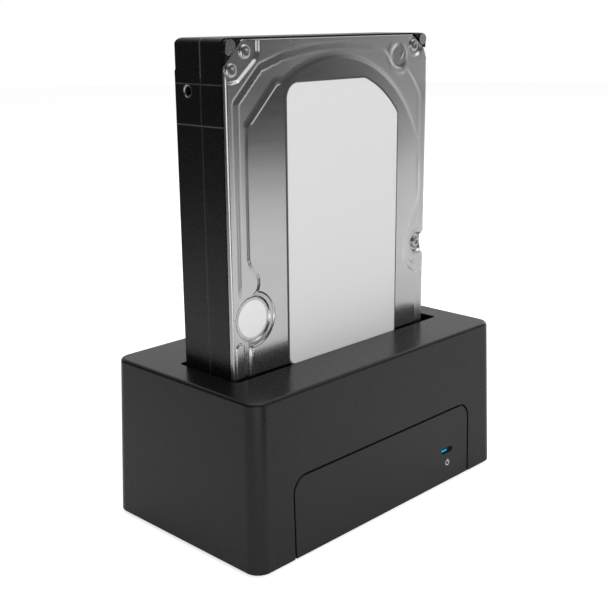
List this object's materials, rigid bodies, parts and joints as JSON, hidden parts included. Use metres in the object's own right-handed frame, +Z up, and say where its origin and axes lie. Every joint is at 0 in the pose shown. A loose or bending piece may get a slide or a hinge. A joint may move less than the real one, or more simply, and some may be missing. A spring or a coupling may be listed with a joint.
{
  "type": "hard drive docking station",
  "caption": "Black desktop docking station with a 3.5 inch hard drive standing upright in its top slot, front inlay with a lit window, ports and a rocker switch behind.",
  "frame": {"origin": "centre of the dock's footprint, on the table under the rubber feet", "axes": "+Z up out of the slot, -Y towards the lit front, +X towards the slot's free end"},
  "size_m": [0.1346, 0.0774, 0.1733],
  "materials": {
    "housing_black": "fine textured satin black",
    "well_black": "matte black",
    "inlay_black": "fine textured satin black",
    "base_black": "matte black",
    "light_pipe_clear": "clear lens lit blue",
    "led_white": "gloss",
    "board_green": "solder mask",
    "connector_black": "matte",
    "contact_gold": "gold plated",
    "plated_steel": "nickel plated",
    "port_blue": "matte blue",
    "rocker_black": "semi gloss",
    "chip_black": "moulded epoxy",
    "ferrite_grey": "matte",
    "capacitor_aluminium": "satin",
    "screw_steel": "satin",
    "foot_rubber": "matte",
    "cast_black": "black coated casting",
    "brushed_cover": "brushed pressed steel",
    "gasket_black": "matte",
    "label_grey": "blank satin label",
    "seal_white": "blank satin seal",
    "motor_aluminium": "machined",
    "platter_mirror": "polished",
    "coil_copper": "enamelled copper wire",
    "ramp_plastic": "matte",
    "filter_white": "pressed fibre"
  },
  "bodies": {
    "dock": {"housing": "housing_black", "drive_well": "well_black", "front_inlay": "inlay_black", "base_cover": "base_black", "light_pipe": "light_pipe_clear", "status_led": "led_white", "main_board": "board_green", "sata_receptacle": "connector_black", "sata_contacts": "contact_gold", "usb_port_shell": "plated_steel", "usb_port_tongue": "port_blue", "dc_jack": "connector_black", "dc_jack_pin": "plated_steel", "switch_housing": "connector_black", "bridge_chip": "chip_black", "crystal": "plated_steel", "power_inductors": "ferrite_grey", "capacitors": "capacitor_aluminium", "voltage_regulator": "chip_black", "board_screws": "screw_steel", "base_screws": "screw_steel", "rubber_feet": "foot_rubber"},
    "switch_rocker": {"switch_rocker": "rocker_black"},
    "drive": {"drive_base": "cast_black", "drive_cover": "brushed_cover", "cover_gasket": "gasket_black", "cover_screws": "screw_steel", "drive_label": "label_grey", "round_seal": "seal_white", "drive_board": "board_green", "drive_board_chips": "chip_black", "drive_board_screws": "screw_steel", "drive_sata_plug": "connector_black", "spindle_motor": "motor_aluminium", "pivot_post": "screw_steel", "magnet_yokes": "plated_steel", "head_ramp": "ramp_plastic", "breather_filter": "filter_white"},
    "platter_stack": {"spindle_hub": "motor_aluminium", "platters": "platter_mirror", "platter_spacer": "motor_aluminium", "clamp_ring": "motor_aluminium", "clamp_screws": "screw_steel"},
    "actuator": {"arm_stack": "motor_aluminium", "voice_coil": "coil_copper", "head_suspensions": "plated_steel", "head_sliders": "chip_black"}
  },
  "joints": [
    {"name": "drive_lift", "type": "slide", "parent": "dock", "child": "drive", "axis": [0, 0, 1], "range_m": [0, 0.1]},
    {"name": "switch_rock", "type": "hinge", "parent": "dock", "child": "switch_rocker", "pos_m": [-0.034, 0.03373, 0.0244], "axis": [0, 0, 1], "range_deg": [0, 16]},
    {"name": "platter_spin", "type": "hinge", "parent": "drive", "child": "platter_stack", "pos_m": [-0.0033, -0.00563, 0.1193], "axis": [0, 1, 0], "continuous": true},
    {"name": "arm_swing", "type": "hinge", "parent": "drive", "child": "actuator", "pos_m": [0.0219, -0.00463, 0.0643], "axis": [0, 1, 0], "range_deg": [0, 32]}
  ]
}
